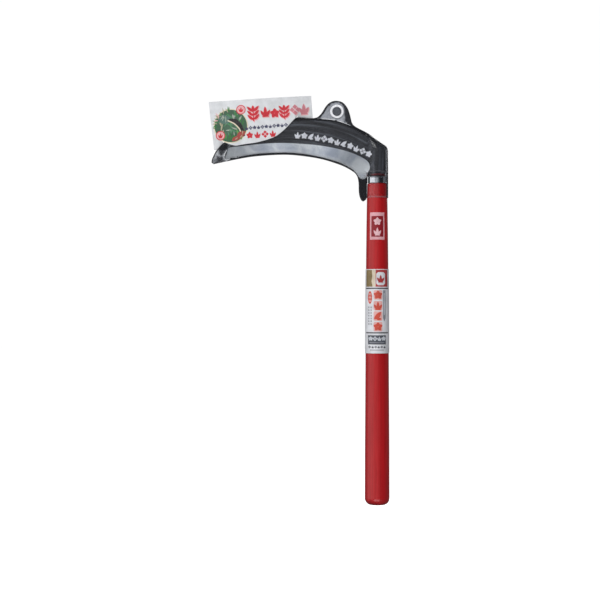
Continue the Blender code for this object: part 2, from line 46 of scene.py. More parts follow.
# ---------------------------------------------------------------- plan lines, as in the CAD
BLADE_HALF = 1.2
EDGE_THICKNESS = 0.5
CUTTING_EDGE = [
    (-183.0, 323.6), (-166.0, 327.0), (-142.0, 330.8), (-113.0, 332.2), (-90.0, 330.7),
    (-66.0, 326.4), (-45.0, 320.0), (-31.0, 312.8), (-25.0, 307.2), (-21.5, 302.0),
    (-17.6, 300.0), (-13.6, 301.4), (-11.9, 305.0), (-11.8, 307.2),
]
SPINE = [
    (10.6, 338.0), (0.0, 345.4), (-14.0, 352.8), (-30.2, 361.8), (-52.0, 369.2),
    (-80.6, 371.2), (-106.0, 369.8), (-132.0, 364.4), (-158.0, 353.8), (-174.0, 342.6),
    (-181.0, 333.4), (-183.4, 327.2),
]
BEVEL_LINE = [
    (-178.6, 337.2), (-175.0, 338.6), (-159.0, 340.4), (-136.0, 342.9), (-114.7, 343.7),
    (-90.2, 342.6), (-67.4, 340.4), (-44.6, 336.0), (-29.0, 331.2), (-17.0, 325.6),
    (-10.4, 320.2), (-8.9, 313.6), (-11.2, 308.4),
]
TANG = [
    (-8.2, 307.2), (-5.0, 240.0), (-2.0, 236.0), (2.0, 236.0), (5.0, 240.0), (8.2, 307.2),
    (10.6, 307.2),
]
PIN_HOLE = (0.0, 286.0, 1.6)
BLADE_MIDDLE = [
    (-186.0, 330.0), (-150.0, 346.0), (-100.0, 352.0), (-50.0, 344.0), (-16.0, 326.0),
    (-2.0, 300.0), (0.0, 236.0),
]
MARKS_LINE = [
    (-99.5, 353.4), (-81.4, 351.6), (-61.4, 348.2), (-38.9, 342.4), (-22.7, 336.2),
    (-6.5, 328.8),
]

COVER_WALL = 0.6
SEAM_HALF = 0.15
POCKET_HALF = 1.6
POCKET_RAMP = 1.2
SLEEVE_INNER = 12.6
SLEEVE_BOTTOM_Z = 277.8
SLEEVE_DOME = 14.0
SLEEVE_RIM_EDGE = 0.6
COVER_TOP = [
    (-198.8, 320.4), (-198.2, 324.0), (-195.8, 329.6), (-192.2, 335.6), (-184.0, 343.9),
    (-160.0, 359.6), (-130.0, 369.8), (-96.2, 374.3), (-76.0, 373.6), (-68.2, 377.8),
    (-60.9, 388.6), (-55.0, 393.2), (-48.4, 394.3), (-41.2, 392.2), (-35.6, 385.6),
    (-32.4, 376.6), (-30.2, 368.0), (-25.8, 363.2), (-12.2, 356.0), (0.6, 347.6),
    (11.0, 340.4),
]
COVER_BOTTOM = [
    (-13.0, 276.2), (-17.0, 273.8), (-20.2, 277.4), (-21.9, 285.0), (-22.4, 297.6),
    (-25.1, 306.0), (-32.0, 311.6), (-44.3, 317.6), (-66.0, 324.4), (-90.0, 328.4),
    (-113.0, 329.9), (-143.8, 328.2), (-166.7, 324.8), (-196.2, 318.4),
]
POCKET_RIM = [
    (-187.6, 321.0), (-187.9, 326.0), (-186.2, 334.0), (-178.6, 343.6), (-160.0, 356.2),
    (-132.0, 367.0), (-106.0, 371.6), (-80.6, 372.8), (-52.0, 371.0), (-30.2, 363.6),
    (-12.0, 354.2), (0.6, 346.6), (11.0, 339.6), (13.0, 334.0), (13.0, 279.0),
]
STUD = (-48.4, 381.5)
STUD_HOLE_RADIUS = 2.3

CARD_CORNERS = [(-195.8, 335.6), (-74.6, 336.6), (-79.1, 400.6), (-202.4, 393.0)]
CARD_HALF = 0.2
CARD_STAND_OFF = 3.0
CARD_BEND_RADIUS = 6.0
SLIT_HALF_WIDTH = 0.35
SLIT = [
    (-186.2, 345.4), (-179.0, 342.6), (-170.0, 340.0), (-160.0, 341.6), (-144.0, 344.0),
    (-130.0, 347.8), (-120.0, 352.2), (-110.0, 360.4), (-101.0, 370.0), (-94.4, 376.8),
]

HANDLE_STATIONS = [
    (-82.0, 14.9), (-20.0, 14.65), (71.0, 14.1), (150.0, 13.75), (203.0, 13.3),
    (240.0, 12.9), (269.0, 12.45), (294.4, 11.9),
]
LABEL_BOTTOM_Z = 91.8
LABEL_TOP_Z = 192.2
LABEL_GAP = 0.3
LABEL_THICKNESS = 0.25

# Kinds of plain plant ornament, which stand in for printed matter.
EAR, FAN, SLANTING_LEAF, DIAMONDS, FLOWER = range(5)


# ---------------------------------------------------------------- plan geometry
def soft_step(value, low, high):
    """0 below low, 1 above high and a smooth rise between them."""
    t = np.clip((value - low) / (high - low), 0, 1)
    return t * t * (3 - 2 * t)


def curve_through(points, steps=6):
    """A smooth curve (Catmull-Rom) through the points, with so many steps between two."""
    p = np.array(points, float)
    p = np.vstack([2 * p[0] - p[1], p, 2 * p[-1] - p[-2]])
    out = []
    for a, b, c, d in zip(p, p[1:], p[2:], p[3:]):
        for s in range(steps):
            t = s / steps
            spread = 2 * a - 5 * b + 4 * c - d
            out.append(0.5 * (2 * b + (c - a) * t + spread * t**2 + (3 * b - a - 3 * c + d) * t**3))
    out.append(p[-2])
    return [tuple(q) for q in out]


def placed(shape, x, z, size, turn=0.0):
    """A shape drawn about the origin, scaled, turned and moved to (x, z)."""
    cos, sin = size * math.cos(turn), size * math.sin(turn)
    return [(x + u * cos - v * sin, z + u * sin + v * cos) for u, v in shape]


def circle(x, z, radius, steps, squash=1.0):
    """A closed round or oval outline."""
    angles = [2 * math.pi * k / steps for k in range(steps)]
    return [(x + radius * math.cos(a), z + radius * squash * math.sin(a)) for a in angles]


def box(x, z, width, height, turn=0.0, corner=0.0):
    """A closed rectangle about its centre, with cut corners if corner isn't 0."""
    w, h, c = 0.5 * width, 0.5 * height, corner
    if c:
        flat = [(c - w, -h), (w - c, -h), (w, c - h), (w, h - c), (w - c, h), (c - w, h),
                (-w, h - c), (-w, c - h)]
    else:
        flat = [(-w, -h), (w, -h), (w, h), (-w, h)]
    return placed(flat, x, z, 1.0, turn)


def leaf(x, z, length, width, turn, bend=0.0):
    """A pointed leaf outline from its foot at (x, z), which may bend to one side."""
    steps = 5
    left, right = [], []
    for k in range(steps + 1):
        t = k / steps
        along = length * t
        off = bend * length * t * t
        half = 0.5 * width * math.sin(math.pi * min(1.0, 0.06 + 0.94 * t)) ** 0.8
        left.append((along, off + half))
        if 0 < k < steps:
            right.append((along, off - half))
    return placed(left + right[::-1], x, z, 1.0, turn)


def sprig(kind, x, z, size, colour, turn=0.0):
    """A plain plant ornament that fits in a square of that size, as (outline, colour) areas: an
    ear, a fan of three leaves, a slanting leaf with a small one, four diamonds, or a flower."""
    up = math.pi / 2
    if kind == EAR:
        unit = [box(0.0, -0.12, 0.08, 0.76)]
        for level in (-0.40, -0.14, 0.12):
            unit.append(leaf(0.0, level, 0.52, 0.19, up - 0.95, 0.12))
            unit.append(leaf(0.0, level, 0.52, 0.19, up + 0.95, -0.12))
        unit.append(leaf(0.0, 0.12, 0.40, 0.20, up))
    elif kind == FAN:
        unit = [leaf(0.0, -0.48, 0.98, 0.32, up)]
        for side in (-1, 1):
            unit.append(leaf(0.0, -0.46, 0.76, 0.30, up + side * 0.78, -side * 0.15))
        unit.append(box(0.0, -0.44, 0.62, 0.10))
    elif kind == SLANTING_LEAF:
        unit = [leaf(-0.40, -0.40, 1.15, 0.50, up / 2, 0.10)]
        unit.append(leaf(-0.22, -0.30, 0.62, 0.30, -0.12, 0.10))
    elif kind == DIAMONDS:
        spots = [(0.0, 0.30), (0.0, -0.30), (0.30, 0.0), (-0.30, 0.0)]
        unit = [box(u, v, 0.36, 0.36, up / 2) for u, v in spots]
    else:
        unit = [leaf(0.0, 0.0, 0.52, 0.40, up + 2 * math.pi * k / 5) for k in range(5)]
    return [(placed(shape, x, z, size, turn), colour) for shape in unit]


def along_edges(shape, step):
    """The closed outline with extra points, so that no side is longer than step."""
    out = []
    for (xa, za), (xb, zb) in zip(shape, shape[1:] + shape[:1]):
        pieces = max(1, math.ceil(math.hypot(xb - xa, zb - za) / step))
        for k in range(pieces):
            out.append((xa + (xb - xa) * k / pieces, za + (zb - za) * k / pieces))
    return out


def distance_to(points, line):
    """How far each point is from a line of points."""
    p = np.asarray(points, float)
    best = np.full(len(p), np.inf)
    for a, b in zip(np.asarray(line, float), np.asarray(line, float)[1:]):
        along = b - a
        size = along @ along
        if size < 1e-12:
            continue
        t = np.clip((p - a) @ along / size, 0, 1)
        best = np.minimum(best, np.hypot(*(p - a - t[:, None] * along).T))
    return best


def inside(points, outline):
    """Which points are inside a closed outline."""
    p = np.asarray(points, float)
    ring = np.asarray(outline, float)
    result = np.zeros(len(p), bool)
    for (xa, za), (xb, zb) in zip(ring, np.roll(ring, -1, 0)):
        if za == zb:
            continue
        spans = (za > p[:, 1]) != (zb > p[:, 1])
        result ^= spans & (p[:, 0] < xa + (p[:, 1] - za) * (xb - xa) / (zb - za))
    return result


def height_at(line, x):
    """z where a line of points passes each x."""
    ordered = np.array(sorted(line))
    return np.interp(x, ordered[:, 0], ordered[:, 1])


def offset_inwards(line, distance):
    """The line moved to its right-hand side, as seen along it."""
    p = np.asarray(line, float)
    along = np.gradient(p, axis=0)
    along /= np.linalg.norm(along, axis=1)[:, None]
    moved = p + distance * np.stack([along[:, 1], -along[:, 0]], 1)
    return [tuple(q) for q in moved]


def closed(loop):
    """The loop's points with the first one again at the end."""
    return [*loop, loop[0]]


def grid_points(outline, spacing, lines, clearance):
    """Staggered points inside an outline, clear of its border and of some lines."""
    ring = np.asarray(outline, float)
    low, high = ring.min(0), ring.max(0)
    pitch = 0.866 * spacing
    points = []
    rows = int((high[1] - low[1]) / pitch) + 1
    columns = int((high[0] - low[0]) / spacing) + 2
    for j in range(rows):
        for i in range(columns):
            points.append((low[0] + (i - 0.5 * (j % 2)) * spacing, low[1] + pitch * j))
    points = np.array(points)
    points = points[inside(points, outline)]
    for line in [closed(outline), *lines]:
        points = points[distance_to(points, line) > clearance]
    return [tuple(q) for q in points]


def plan_triangles(outline, holes, guides, fill):
    """Triangles that fill an outline, less its holes, with the guide lines among their edges."""
    points, edges = [], []
    for loop in [outline, *holes]:
        start = len(points)
        points += loop
        edges += [(start + k, start + (k + 1) % len(loop)) for k in range(len(loop))]
    for line in guides:
        start = len(points)
        points += line
        edges += [(start + k, start + k + 1) for k in range(len(line) - 1)]
    points += fill
    verts, _, faces, *_ = delaunay_2d_cdt([Vector(p) for p in points], edges, [], 1, 1e-4)
    verts = np.array([tuple(v) for v in verts])
    faces = np.array([f for f in faces if len(f) == 3])
    centres = verts[faces].mean(1)
    keep = inside(centres, outline)
    for hole in holes:
        keep &= ~inside(centres, hole)
    faces = faces[keep]
    a, b, c = (verts[faces[:, k]] for k in range(3))
    area = (b[:, 0] - a[:, 0]) * (c[:, 1] - a[:, 1]) - (c[:, 0] - a[:, 0]) * (b[:, 1] - a[:, 1])
    faces[area < 0] = faces[area < 0][:, ::-1]
    used = np.unique(faces)
    renumber = np.zeros(len(verts), int)
    renumber[used] = np.arange(len(used))
    return verts[used], renumber[faces], centres[keep]


def sheet(name, body, stands_for, outline, place, materials, holes=(), guides=(), fill=(),
          prints=(), sharp=35.0, attributes=None):
    """A closed piece over a plan outline. place(points, side) gives its front points for side 0
    and its back points for side 1. prints are (outline, material number) areas of the front,
    and all the rest has the first material."""
    loops = [closed(shape) for shape, _ in prints]
    plan, faces, centres = plan_triangles(outline, list(holes), [*guides, *loops], list(fill))
    number = len(plan)
    front = place(plan, 0)
    back = place(plan, 1)
    region = np.zeros(len(faces), int)
    for shape, index in prints:
        ring = np.asarray(shape)
        near = np.all((centres >= ring.min(0)) & (centres <= ring.max(0)), axis=1)
        region[np.flatnonzero(near)[inside(centres[near], shape)]] = index
    polygons = [tuple(f) for f in faces] + [tuple(f[::-1] + number) for f in faces]
    indices = list(region) + [0] * len(faces)
    sides = {(a, b): True for f in faces for a, b in zip(f, np.roll(f, -1))}
    for a, b in sides:
        if (b, a) not in sides:
            polygons.append((b, a, a + number, b + number))
            indices.append(0)
    mesh = bpy.data.meshes.new(name)
    mesh.from_pydata(np.vstack([front, back]) * MM, [], [tuple(map(int, p)) for p in polygons])
    mesh.polygons.foreach_set("material_index", indices)
    for key, values in (attributes or {}).items():
        both = np.concatenate([values(plan), values(plan)]).astype(np.float32)
        mesh.attributes.new(key, "FLOAT", "POINT").data.foreach_set("value", both)
    mesh.shade_smooth()
    mesh.set_sharp_from_angle(angle=math.radians(sharp))
    for made in materials:
        mesh.materials.append(made)
    mesh.validate()
    piece = bpy.data.objects.new(name, mesh)
    bpy.context.scene.collection.objects.link(piece)
    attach(piece, body)
    if stands_for:
        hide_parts(stands_for)
    return piece


# ---------------------------------------------------------------- materials
def tone(red, green, blue):
    """Linear colour of a screen colour given in 0 to 255."""
    def linear(v):
        v /= 255.0
        return v / 12.92 if v <= 0.04045 else ((v + 0.055) / 1.055) ** 2.4
    return (linear(red), linear(green), linear(blue), 1.0)


class Paint:
    """A material's node tree, written in few words. Places in it are in metres."""

    def __init__(self, name, **settings):
        self.material = bpy.data.materials.new(name)
        self.material.use_nodes = True
        self.tree = self.material.node_tree
        self.shader = self.tree.nodes["Principled BSDF"]
        self.place = self.node("TexCoord").outputs["Object"]
        self.look(**settings)

    def put(self, socket, value):
        """Link the socket to the value if it is another socket, or else set it."""
        if isinstance(value, bpy.types.NodeSocket):
            self.tree.links.new(value, socket)
        else:
            socket.default_value = value

    def node(self, kind, inputs=None, **settings):
        made = self.tree.nodes.new("ShaderNode" + kind)
        for key, value in settings.items():
            setattr(made, key, value)
        for key, value in (inputs or {}).items():
            self.put(made.inputs[key], value)
        return made

    def noise(self, per_mm, detail=3.0, stretch=(1.0, 1.0, 1.0), source=None, twist=0.0):
        """Noise with that many grains in a millimetre, times stretch along each axis."""
        scale = tuple(1000.0 * per_mm * s for s in stretch)
        vector = self.node("Mapping", {"Vector": source or self.place, "Scale": scale}).outputs[0]
        wanted = {"Vector": vector, "Scale": 1.0, "Detail": detail, "Distortion": twist}
        return self.node("TexNoise", wanted).outputs["Fac"]

    def ramp(self, source, *stops):
        """A colour ramp through (place, colour or grey) stops."""
        made = self.node("ValToRGB", {"Fac": source})
        spots = made.color_ramp.elements
        while len(spots) < len(stops):
            spots.new(0.5)
        for spot, (where, colour) in zip(spots, stops):
            spot.position = where
            spot.color = colour if isinstance(colour, tuple) else (colour, colour, colour, 1.0)
        return made.outputs["Color"]

    def mix(self, factor, a, b, how="MIX"):
        made = self.node("Mix", data_type="RGBA", blend_type=how)
        self.put(made.inputs[0], factor)
        self.put(made.inputs[6], a)
        self.put(made.inputs[7], b)
        return made.outputs[2]

    def calc(self, how, a, b, limit=False):
        """A sum of that kind, held between 0 and 1 where there is a limit."""
        made = self.node("Math", operation=how, use_clamp=limit)
        self.put(made.inputs[0], a)
        self.put(made.inputs[1], b)
        return made.outputs[0]

    def value(self, name):
        return self.node("Attribute", attribute_name=name).outputs["Fac"]

    def bump(self, height, strength, depth_mm, shader=None):
        wanted = {"Height": height, "Strength": strength, "Distance": depth_mm * MM}
        made = self.node("Bump", wanted).outputs[0]
        self.put((shader or self.shader).inputs["Normal"], made)
        return made

    def look(self, **settings):
        for key, value in settings.items():
            socket = key.replace("_", " ").title().replace(" Ior ", " IOR ")
            self.put(self.shader.inputs[socket], value)


def black_scale():
    """Blackened steel, drawn out along the blade, with a few bare rubs, and painted shade that
    darkens the neck towards its right side.
    """
    p = Paint("black_scale", metallic=0.25)
    along = p.node("CombineXYZ", {"X": p.value("along"), "Y": p.value("across")}).outputs[0]
    streaks = p.noise(0.12, 5.0, (0.10, 3.2, 1.0), along, 0.5)
    fine = p.noise(1.3, 3.0, (0.10, 3.0, 1.0), along)
    blots = p.noise(0.10, 3.0)
    colour = p.ramp(streaks, (0.34, tone(20, 21, 25)), (0.50, tone(44, 46, 53)),
                    (0.70, tone(96, 100, 108)))
    colour = p.mix(p.ramp(blots, (0.45, 0.0), (0.75, 0.5)), colour, tone(34, 36, 42))
    colour = p.mix(p.ramp(fine, (0.60, 0.0), (0.8, 0.45)), colour, tone(122, 126, 134))
    # Painted shade: the neck's colour is multiplied darker towards its right side (+X).
    neck_width = 0.020
    x = p.node("SeparateXYZ", {"Vector": p.place}).outputs["X"]
    across_neck = p.calc("ADD", p.calc("MULTIPLY", x, 1.0 / neck_width), 0.5)
    neck = p.ramp(across_neck, (0.30, 0.0), (0.85, 0.65))
    colour = p.mix(neck, colour, tone(84, 84, 90), "MULTIPLY")
    p.look(base_color=colour, roughness=p.ramp(streaks, (0.3, 0.34), (0.7, 0.50)))
    p.bump(p.calc("ADD", fine, streaks), 0.25, 0.10)
    return p.material


def ground_steel():
    """The ground bevel: satin steel with grinding marks across it, brighter along the edge, with
    painted light and shade that vary along the blade.
    """
    p = Paint("ground_steel", metallic=0.55)
    cross = p.node("CombineXYZ", {"X": p.value("along"), "Y": p.value("across")}).outputs[0]
    marks = p.noise(2.4, 3.0, (1.0, 0.10, 1.0), cross, 0.2)
    cloud = p.noise(0.05, 4.0, twist=0.6)
    near_edge = p.ramp(p.value("edge"), (0.0, 1.0), (0.35, 0.0))
    colour = p.ramp(cloud, (0.34, tone(190, 198, 213)), (0.58, tone(248, 252, 255)))
    colour = p.mix(p.ramp(marks, (0.35, 0.0), (0.8, 0.35)), colour, tone(166, 174, 190))
    colour = p.mix(p.calc("MULTIPLY", near_edge, 0.8), colour, tone(238, 241, 245))
    # Painted light and shade: the bevel's colour is multiplied lighter and darker along the blade's
    # length.
    blade_length = 0.200
    share = p.calc("MULTIPLY", p.value("along"), 1.0 / blade_length)
    light_along_blade = p.ramp(share, (0.08, 0.56), (0.34, 1.0), (0.50, 0.84), (0.66, 1.0), (0.82, 0.56),
                  (0.96, 0.70))
    colour = p.mix(1.0, colour, light_along_blade, "MULTIPLY")
    p.look(base_color=colour, roughness=p.ramp(marks, (0.3, 0.42), (0.8, 0.58)))
    p.bump(marks, 0.22, 0.05)
    return p.material


def lacquer():
    """Red lacquer over turned wood: faint grain, orange peel, rubbed places."""
    p = Paint("red_lacquer_paint", coat_weight=0.35, coat_roughness=0.18, specular_ior_level=0.3)
    grain = p.noise(0.5, 4.0, (1.0, 1.0, 0.035), twist=0.5)
    cloud = p.noise(0.03, 3.0)
    peel = p.noise(0.8, 2.0)
    specks = p.noise(1.6, 2.0)
    colour = p.ramp(grain, (0.30, tone(162, 22, 26)), (0.70, tone(184, 28, 34)))
    colour = p.mix(p.ramp(cloud, (0.40, 0.0), (0.75, 0.40)), colour, tone(160, 16, 22))
    colour = p.mix(p.ramp(specks, (0.72, 0.0), (0.80, 0.30)), colour, tone(205, 110, 112))
    p.look(base_color=colour, roughness=p.ramp(cloud, (0.3, 0.30), (0.7, 0.42)))
    p.bump(p.calc("ADD", p.calc("MULTIPLY", grain, 0.6), p.calc("MULTIPLY", peel, 0.4)), 0.14, 0.12)
    return p.material


def plated(name, low, high, roughness):
    """Bright metal with faint turning lines and finger marks."""
    p = Paint(name, metallic=1.0)
    lines = p.noise(3.0, 2.0, (0.05, 0.05, 1.0))
    marks = p.noise(0.25, 3.0)
    p.look(
        base_color=p.ramp(marks, (0.3, low), (0.7, high)),
        roughness=p.ramp(marks, (0.35, roughness), (0.75, roughness + 0.12)),
    )
    p.bump(lines, 0.12, 0.03)
    return p.material


def moulded(name, dark, light, roughness):
    """Moulded plastic: a fine grain and a little dust."""
    p = Paint(name, specular_ior_level=0.5)
    cloud = p.noise(0.35, 3.0)
    grain = p.noise(4.0, 2.0)
    p.look(
        base_color=p.ramp(cloud, (0.3, dark), (0.7, light)),
        roughness=p.ramp(grain, (0.3, roughness), (0.7, roughness + 0.12)),
    )
    p.bump(grain, 0.10, 0.04)
    return p.material


def ink(name, colour, roughness=0.42, wear=None):
    """Printed colour on paper or film: slightly uneven, with fine rubbed specks."""
    p = Paint(name, specular_ior_level=0.4)
    cloud = p.noise(0.12, 3.0)
    speck = p.noise(1.8, 3.0)
    darker = tuple(0.80 * c for c in colour[:3]) + (1.0,)
    made = p.mix(p.ramp(cloud, (0.35, 0.0), (0.70, 0.8)), colour, darker)
    made = p.mix(p.ramp(speck, (0.62, 0.0), (0.82, 0.35)), made, wear or tone(226, 226, 228))
    p.look(base_color=made, roughness=p.ramp(cloud, (0.3, roughness), (0.7, roughness + 0.1)))
    p.bump(speck, 0.10, 0.03)
    return p.material


def clear_film(name, shade=None, cover=None):
    """Clear sheet with painted shade and a painted whitish sheen, as strong as two attributes of
    the mesh say, or with one painted shade all over. It is darker where it is seen edge on, as
    thick as thick says."""
    clear_tint = (0.975, 0.98, 0.985, 1.0)
    shade_tint = (0.30, 0.31, 0.34, 1.0)
    least_mirror, rim_mirror = 0.013, 0.14
    p = Paint(name)
    ripple = p.noise(0.09, 3.0, twist=0.8)
    fine = p.noise(0.45, 3.0)
    scratch = p.noise(1.4, 2.0, (0.12, 1.0, 1.6))
    mottle = p.ramp(ripple, (0.36, 0.35), (0.62, 1.0))
    facing = p.node("LayerWeight", {"Blend": 0.5}).outputs["Facing"]
    # Painted shade: darkness from the mesh's shade attribute, or from the one given shade, made
    # patchy.
    dark = p.calc("MULTIPLY", p.value("painted_shade") if shade is None else shade, mottle, True)
    edge_on = p.calc("MULTIPLY", p.ramp(facing, (0.40, 0.0), (0.66, 1.0)), p.value("thick"))
    dark = p.calc("ADD", dark, edge_on, True)
    passed = p.mix(dark, clear_tint, shade_tint)
    through = p.node("BsdfTransparent", {"Color": passed}).outputs[0]
    mirror = p.calc("MULTIPLY", p.calc("POWER", facing, 5.0), rim_mirror)
    mirror = p.calc("ADD", mirror, least_mirror, True)
    gloss = p.node("BsdfGlossy", {"Color": (1, 1, 1, 1), "Roughness": 0.26})
    height = p.calc("ADD", ripple, p.calc("MULTIPLY", fine, 0.15))
    bent = p.bump(height, 0.5, 0.9, gloss)
    clear = p.node("MixShader", {0: mirror, 1: through, 2: gloss.outputs[0]}).outputs[0]
    film_shade_colour = p.ramp(dark, (0.0, (0.50, 0.52, 0.58, 1.0)), (0.16, (0.34, 0.36, 0.40, 1.0)),
                  (0.40, (0.034, 0.036, 0.044, 1.0)), (1.0, (0.020, 0.021, 0.026, 1.0)))
    p.look(base_color=film_shade_colour, roughness=0.30, specular_ior_level=0.3, normal=bent)
    # Painted sheen: a whitish veil where the mesh's sheen attribute is high.
    sheen_amount = p.calc("MULTIPLY", p.value("painted_sheen"), p.ramp(fine, (0.3, 0.6), (0.7, 1.0)))
    solid = p.calc("ADD", sheen_amount, p.calc("MULTIPLY", dark, 0.5), True)
    scuffs = p.calc("MULTIPLY", p.ramp(scratch, (0.64, 0.0), (0.85, 1.0)), 0.03)
    solid = cover or p.calc("ADD", solid, scuffs, True)
    film = p.node("MixShader", {0: solid, 1: clear, 2: p.shader.outputs[0]}).outputs[0]
    p.put(p.tree.nodes["Material Output"].inputs["Surface"], film)
    return p.material


# ---------------------------------------------------------------- blade
GROUND, BLADE_PRINT = 1, 2  # places in the blade's materials, where black scale is 0
NECK_START, NECK_END = -12.0, -3.0


def length_along(points):
    """How far each point of a line is from its start, measured along it."""
    steps = np.hypot(*np.diff(points, axis=0).T)
    return np.concatenate([[0.0], np.cumsum(steps)])


def blade_marks():
    """A row of small plant ornaments along the blade, where the tool carries printed matter."""
    kinds = (FAN, FLOWER, SLANTING_LEAF, FAN, DIAMONDS, FLOWER, FAN, SLANTING_LEAF, FLOWER, FAN,
             DIAMONDS, FLOWER)
    size = 7.9
    p = np.array(curve_through(MARKS_LINE, 12))
    run = length_along(p)
    shapes = []
    for k, kind in enumerate(kinds):
        at = run[-1] * (k + 0.5) / len(kinds)
        x, z = (np.interp(at, run, p[:, i]) for i in range(2))
        xb, zb = (np.interp(at + 1.0, run, p[:, i]) for i in range(2))
        turn = math.atan2(zb - z, xb - x)
        shapes += sprig(kind, x, z, size, BLADE_PRINT, turn)
    return shapes


def make_blade():
    edge = curve_through(CUTTING_EDGE)
    spine = curve_through(SPINE)
    bevel = curve_through(BEVEL_LINE)
    outline = edge + TANG + spine
    ground = edge + bevel[::-1]
    hole = circle(*PIN_HOLE, 14)
    marks = blade_marks()
    lines = [bevel] + [closed(shape) for shape, _ in marks]
    fill = grid_points(outline, 2.6, lines, 0.7)

    def place(plan, side):
        y = np.full(len(plan), BLADE_HALF)
        if side == 0:
            touching = 1e-3
            to_edge = distance_to(plan, edge)
            to_bevel = distance_to(plan, bevel)
            share = np.where(inside(plan, ground), to_bevel / (to_bevel + to_edge + 1e-9), 0.0)
            share = np.where(to_edge < touching, 1.0, np.where(to_bevel < touching, 0.0, share))
            y = -BLADE_HALF + share * (2 * BLADE_HALF - EDGE_THICKNESS)
        return np.stack([plan[:, 0], y, plan[:, 1]], 1)

    middle = np.array(curve_through(BLADE_MIDDLE, 12))
    run = length_along(middle)
    way = np.gradient(middle, axis=0)
    way /= np.linalg.norm(way, axis=1)[:, None]
    turn_x, turn_z = -16.0, 330.0
    bevel_reach = 14.0

    def nearness(plan):
        """How much each point of the middle line counts for each plan point."""
        gaps = np.hypot(plan[:, None, 0] - middle[:, 0], plan[:, None, 1] - middle[:, 1])
        return 1.0 / (gaps**4 + 1e-6)

    def along(plan):
        """Metres along the middle line, and straight down in the neck."""
        weights = nearness(plan)
        neck = soft_step(plan[:, 0], NECK_START, NECK_END)
        down_the_neck = np.interp(turn_x, middle[:, 0], run) + turn_z - plan[:, 1]
        return ((1 - neck) * (weights @ run) / weights.sum(1) + neck * down_the_neck) * MM

    def across(plan):
        """Metres across the middle line, and straight across in the neck."""
        weights = nearness(plan)
        offsets = ((plan[:, None, 0] - middle[:, 0]) * way[:, 1]
                   - (plan[:, None, 1] - middle[:, 1]) * way[:, 0])
        neck = soft_step(plan[:, 0], NECK_START, NECK_END)
        return ((1 - neck) * (weights * offsets).sum(1) / weights.sum(1) - neck * plan[:, 0]) * MM

    def to_the_edge(plan):
        return distance_to(plan, edge) / bevel_reach

    sheet(
        "blade_plate", "sickle", "blade", outline, place,
        [black_scale(), ground_steel(), ink("blade_print", tone(226, 227, 234), 0.35)],
        holes=[hole], guides=[bevel], fill=fill, prints=[(ground, GROUND), *marks], sharp=20.0,
        attributes={"along": along, "across": across, "edge": to_the_edge},
    )


# ---------------------------------------------------------------- cover
# The cover's painted dark rim and painted shaded margin have these material places.
FILM_EDGE, FILM_MARGIN = 1, 2  # places in the cover's materials, where plain film is 0
TAB_LEFT, TAB_RIGHT = -75.0, -26.0
SLEEVE_TOP_Z = 304.0
TIP_START = -176.0


def cover_depths(rim):
    """The cover's half depth at plan points: inner wall for side 1, outer for side 0."""
    floor_z = 200.0  # well below the sleeve
    shoulder_x, shoulder_z = -40.0, 334.5
    pocket = rim + [(rim[-1][0], floor_z), (rim[0][0], floor_z)]
    wall = [(rim[0][0], floor_z)] + rim + [(rim[-1][0], floor_z)]
    crest = [p for p in rim if p[0] > shoulder_x and p[1] > shoulder_z]

    def dome(plan, radius, lift):
        x, z = plan.T
        below = np.clip((height_at(crest, x) + lift - z) / (SLEEVE_DOME + lift), 0, 1)
        return np.sqrt(1 - (1 - below) ** 2) * np.sqrt(np.clip(radius**2 - x**2, 0, None))

    def depth(plan, side):
        ramp = inside(plan, pocket) * soft_step(distance_to(plan, wall), 0.0, POCKET_RAMP)
        panel = SEAM_HALF + (POCKET_HALF - SEAM_HALF) * ramp
        inner = np.maximum(panel, dome(plan, SLEEVE_INNER, 0.0))
        if side == 1:
            return inner
        wall_here = np.where(plan[:, 0] > SLEEVE_INNER, SLEEVE_RIM_EDGE - SEAM_HALF, COVER_WALL)
        return np.maximum(inner + wall_here, dome(plan, SLEEVE_INNER + COVER_WALL, COVER_WALL))

    return depth


def cover_painted_shade(outline, rim, blade):
    """How much painted shade the film has at plan points: on the tab, darker near its outline and
    towards its right, over the ferrule and at the tip.
    """
    sleeve_front = 10.4
    ferrule_low, ferrule_high, ferrule_shade = 303.5, 309.0, 0.7

    def painted_shade(plan):
        x, z = plan.T
        tab = (z > height_at(rim, x)) & (x > TAB_LEFT) & (x < TAB_RIGHT)
        # Painted shade on the tab: darker within a few millimetres of the outline and towards the
        # tab's right side.
        border = 1 - soft_step(distance_to(plan, closed(outline)), 0.8, 2.8)
        shade = 0.10 + 0.9 * border + 0.9 * soft_step(x, -40.5, -36.0)
        value = np.where(tab, shade, 0.0)
        # Painted shade over the ferrule, which darkens the red seen above it.
        over_ferrule = (z > ferrule_low) & (z < ferrule_high) & (np.abs(x) < sleeve_front)
        value = np.where(over_ferrule, ferrule_shade, value)
        # Painted shade on the empty film beyond the blade's tip, darker towards the top.
        beyond = distance_to(plan, closed(blade)) * ~inside(plan, blade)
        upper = soft_step(z, 324.0, 343.0)
        tip = (x < TIP_START + 4.0) * soft_step(beyond, -0.6, 2.6) * (0.48 + 0.22 * upper)
        return np.maximum(value, tip)

    return painted_shade


